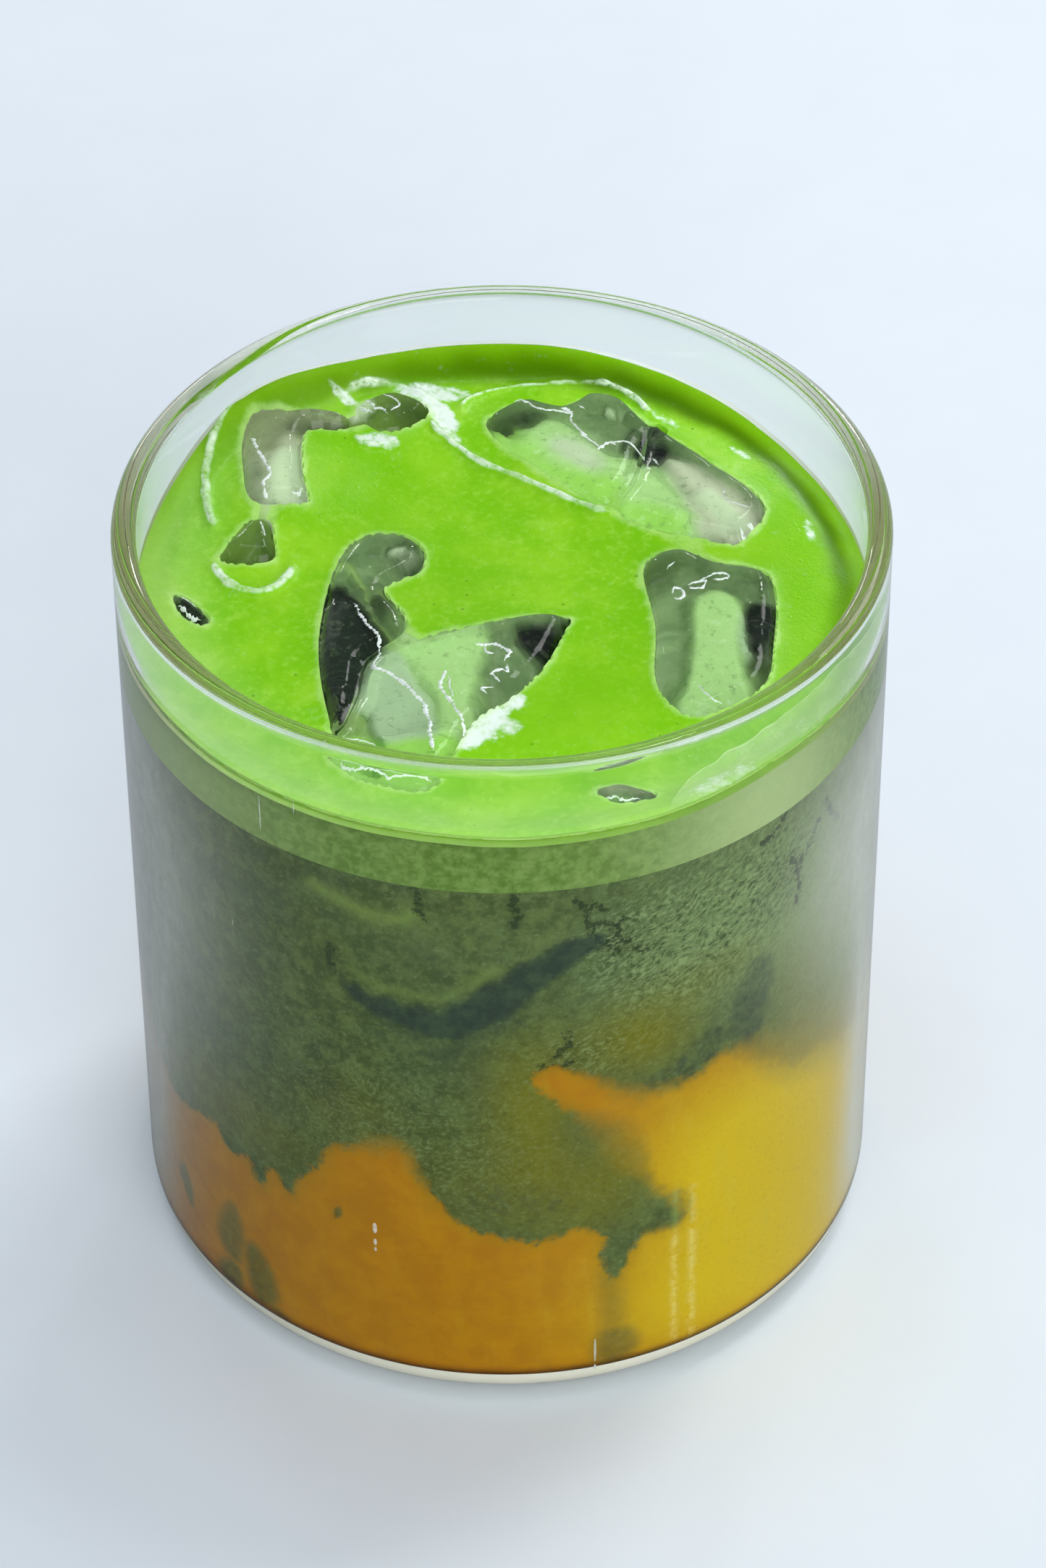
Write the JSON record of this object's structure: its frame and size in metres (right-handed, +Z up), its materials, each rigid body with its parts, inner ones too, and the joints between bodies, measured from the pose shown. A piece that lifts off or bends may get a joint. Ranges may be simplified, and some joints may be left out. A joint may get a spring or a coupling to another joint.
{
  "type": "iced matcha latte",
  "caption": "Straight clear glass tumbler of orange fruit puree, matcha milk and bright matcha foam, with ice pieces breaking the surface.",
  "frame": {"origin": "centre of the glass's underside", "axes": "+Z up along the glass's axis, -Y towards the side that the picture shows, +X to its right"},
  "size_m": [0.08, 0.08, 0.0905],
  "materials": {
    "clear_glass": "polished, clear",
    "fruit_puree": "thick orange fruit puree",
    "matcha_milk": "dark green matcha and milk",
    "matcha_foam": "wet, bright green foam",
    "ice": "wet, cloudy in places"
  },
  "bodies": {
    "root": {"glass": "clear_glass", "fruit_puree": "fruit_puree", "matcha_milk": "matcha_milk", "matcha_foam": "matcha_foam", "ice_front_slab": "ice", "ice_front_wedge": "ice", "ice_right": "ice", "ice_back_left": "ice", "ice_back_right": "ice", "ice_left": "ice", "ice_tip": "ice", "ice_chip": "ice", "ice_sliver_left": "ice", "ice_sliver_front": "ice"}
  },
  "joints": []
}
